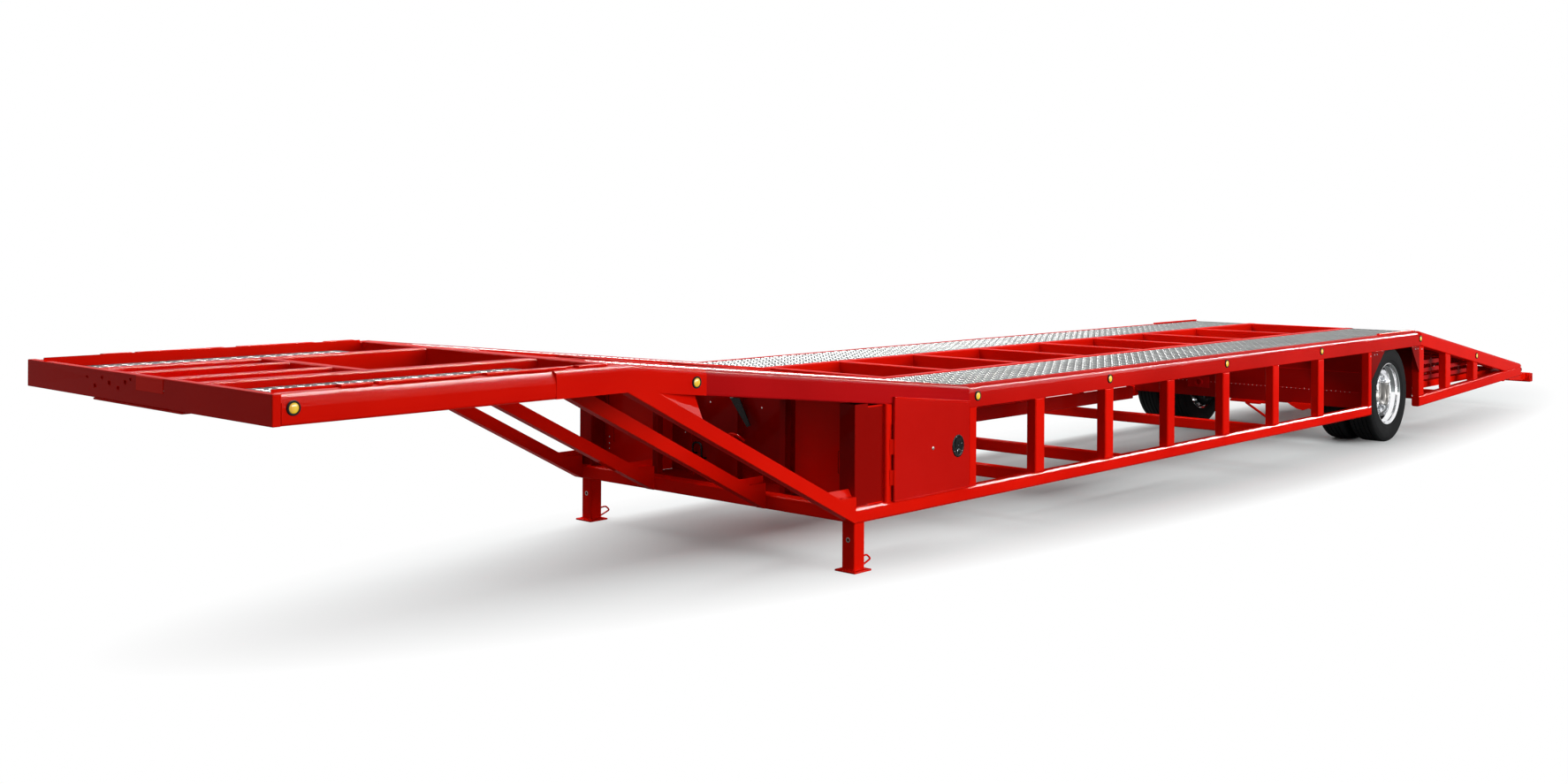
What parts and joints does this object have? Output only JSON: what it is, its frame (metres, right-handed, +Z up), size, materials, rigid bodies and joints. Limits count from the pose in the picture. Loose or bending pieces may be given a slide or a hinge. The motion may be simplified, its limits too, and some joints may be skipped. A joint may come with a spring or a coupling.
{
  "type": "car-transporter semi-trailer with gooseneck, on its drop legs",
  "caption": "Low car-carrying semi-trailer: gooseneck, open truss sides, tread-plate runways, beavertail, twin wheels, drop legs, toolboxes and stored ramps.",
  "frame": {"origin": "on the ground, under the middle of the trailer's length and width", "axes": "+X forward to the gooseneck, +Y to the trailer's left side, +Z up"},
  "size_m": [15.971, 2.59, 1.358],
  "materials": {
    "frame_paint": "glossy red enamel over welded steel tube",
    "tread_plate": "bright mill-finish tread plate with raised lugs",
    "tyre": "black rubber",
    "polished_rim": "polished forged aluminium",
    "hub_metal": "machined steel",
    "undergear_black": "satin black chassis paint",
    "tank_paint": "satin black paint",
    "air_spring_rubber": "black moulded rubber",
    "rubber": "black moulded rubber",
    "amber_lens": "moulded amber lens in a black grommet",
    "red_lens": "moulded red lens",
    "latch_black": "black textured plastic"
  },
  "bodies": {
    "trailer": {"air_springs": "air_spring_rubber", "air_tank": "tank_paint", "axle": "undergear_black", "brake_chambers": "undergear_black", "coupler_plate": "frame_paint", "deck_crossmembers": "frame_paint", "deck_outriggers": "frame_paint", "deck_rails": "frame_paint", "deck_side_beams": "frame_paint", "deck_treadways": "tread_plate", "floor_chords": "frame_paint", "floor_crossmembers": "frame_paint", "front_bulkhead": "frame_paint", "leg_sleeves": "frame_paint", "marker_lamps": "amber_lens", "neck_crossmembers": "frame_paint", "neck_front_beam": "frame_paint", "neck_rails": "frame_paint", "neck_side_beams": "frame_paint", "neck_struts": "frame_paint", "neck_treadways": "tread_plate", "rear_buffers": "rubber", "rear_bumper": "frame_paint", "rear_lamps": "red_lens", "side_posts": "frame_paint", "slope_side_beams": "frame_paint", "suspension_arms": "frame_paint", "tail_side_beams": "frame_paint", "tie_down_strips": "frame_paint", "toolboxes": "frame_paint", "wheel_well_plates": "frame_paint"},
    "wheels_left": {"tyres_left": "tyre", "rims_left": "polished_rim", "hub_left": "hub_metal"},
    "wheels_right": {"tyres_right": "tyre", "rims_right": "polished_rim", "hub_right": "hub_metal"},
    "leg_left": {"leg_left": "frame_paint"},
    "leg_right": {"leg_right": "frame_paint"},
    "door_left": {"toolbox_door_left": "frame_paint", "door_latch_left": "latch_black"},
    "door_right": {"toolbox_door_right": "frame_paint", "door_latch_right": "latch_black"},
    "ramp_left": {"ramp_left": "frame_paint"},
    "ramp_right": {"ramp_right": "frame_paint"}
  },
  "joints": [
    {"name": "wheels_left_spin", "type": "hinge", "parent": "trailer", "child": "wheels_left", "pos_m": [-3.8215, 0.9875, 0.465], "axis": [0, 1, 0], "continuous": true},
    {"name": "wheels_right_spin", "type": "hinge", "parent": "trailer", "child": "wheels_right", "pos_m": [-3.8215, -0.9875, 0.465], "axis": [0, 1, 0], "continuous": true},
    {"name": "leg_left_lift", "type": "slide", "parent": "trailer", "child": "leg_left", "axis": [0, 0, 1], "range_m": [0, 0.18]},
    {"name": "leg_right_lift", "type": "slide", "parent": "trailer", "child": "leg_right", "axis": [0, 0, 1], "range_m": [0, 0.18]},
    {"name": "door_left_swing", "type": "hinge", "parent": "trailer", "child": "door_left", "pos_m": [3.8925, 1.291, 0.63], "axis": [0, 0, -1], "range_deg": [0, 115]},
    {"name": "door_right_swing", "type": "hinge", "parent": "trailer", "child": "door_right", "pos_m": [3.8925, -1.291, 0.63], "axis": [0, 0, 1], "range_deg": [0, 115]},
    {"name": "ramp_left_slide", "type": "slide", "parent": "trailer", "child": "ramp_left", "axis": [-1, 0, 0], "range_m": [0, 2.1]},
    {"name": "ramp_right_slide", "type": "slide", "parent": "trailer", "child": "ramp_right", "axis": [-1, 0, 0], "range_m": [0, 2.1]}
  ]
}
